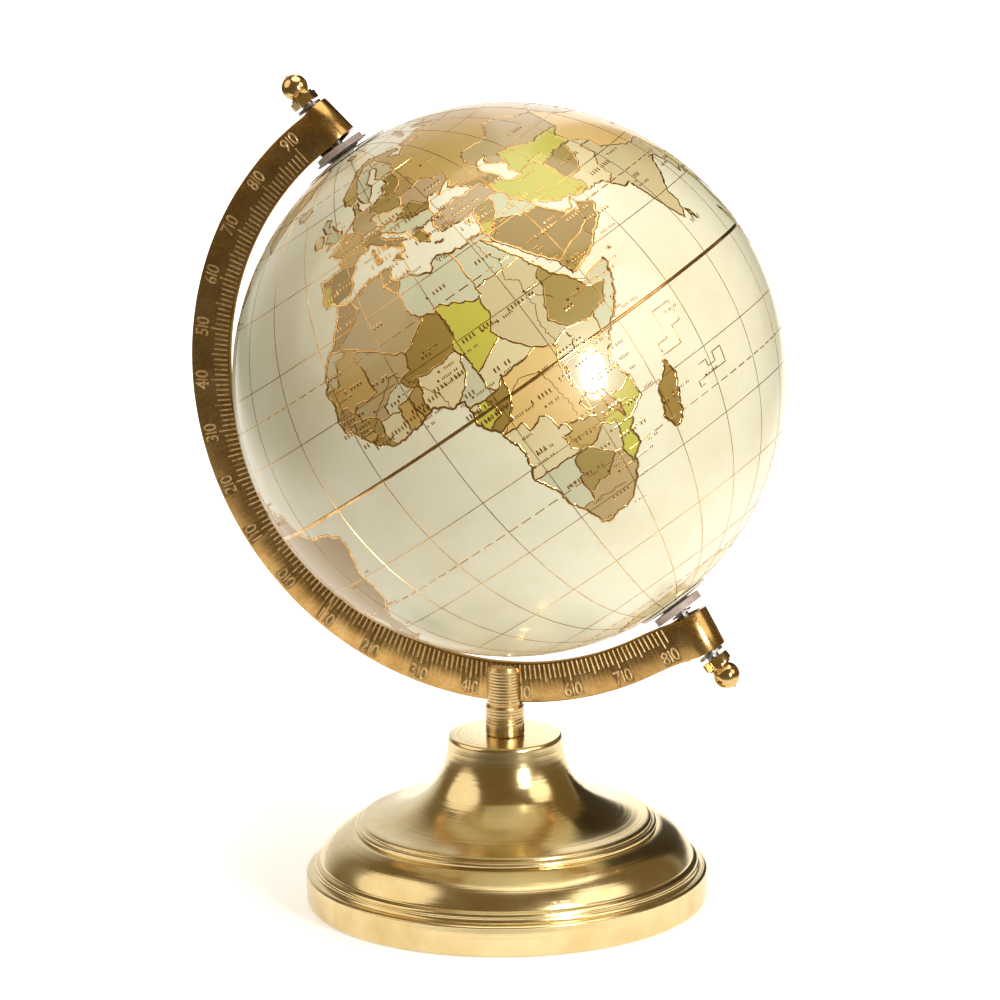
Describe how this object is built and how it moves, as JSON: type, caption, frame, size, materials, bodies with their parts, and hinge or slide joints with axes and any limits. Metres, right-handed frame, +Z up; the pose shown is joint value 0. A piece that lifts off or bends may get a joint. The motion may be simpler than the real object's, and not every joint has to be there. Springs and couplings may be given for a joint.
{
  "type": "desktop globe",
  "caption": "Small political globe on a tilted axle in a graduated half meridian, held by a slotted post on a turned round base.",
  "frame": {"origin": "centre of the round resting face under the base", "axes": "+Z up; the flat meridian strip lies in the XZ plane with the lower end of the axle towards +X; the ball sits behind the strip, towards +Y"},
  "size_m": [0.1404, 0.1277, 0.1923],
  "materials": {
    "base_metal": "turned and polished, lacquered brass-plated casting",
    "post_metal": "fine turned brass",
    "arc_metal": "brushed antique brass, stamped scale",
    "finial_metal": "polished brass",
    "steel": "plain machined steel",
    "grey_plastic": "moulded warm grey plastic",
    "disc_plastic": "thin printed clear plastic",
    "map_paper": "printed map under gloss varnish, foil lines",
    "ring_card": "plain card",
    "felt": "short green felt"
  },
  "bodies": {
    "stand": {"base_shell": "base_metal", "base_felt": "felt", "post": "post_metal", "post_washer": "steel", "post_nut": "steel", "arc_set_screw": "steel"},
    "meridian": {"meridian_arc": "arc_metal", "axle_rod": "steel", "north_finial": "finial_metal", "south_finial": "finial_metal", "north_washer": "steel", "south_washer": "steel", "north_spacer": "steel", "south_spacer": "steel"},
    "globe": {"north_hemisphere": "map_paper", "south_hemisphere": "map_paper", "equator_ring": "ring_card", "north_bush": "grey_plastic", "south_bush": "grey_plastic", "north_hour_disc": "disc_plastic", "south_hour_disc": "disc_plastic"}
  },
  "joints": [
    {"name": "meridian_tilt", "type": "hinge", "parent": "stand", "child": "meridian", "pos_m": [0, 0, 0.124], "axis": [0, 1, 0], "range_deg": [-122, 24]},
    {"name": "globe_spin", "type": "hinge", "parent": "meridian", "child": "globe", "pos_m": [0, 0.00455, 0.124], "axis": [-0.6191, 0, 0.7853], "continuous": true}
  ]
}
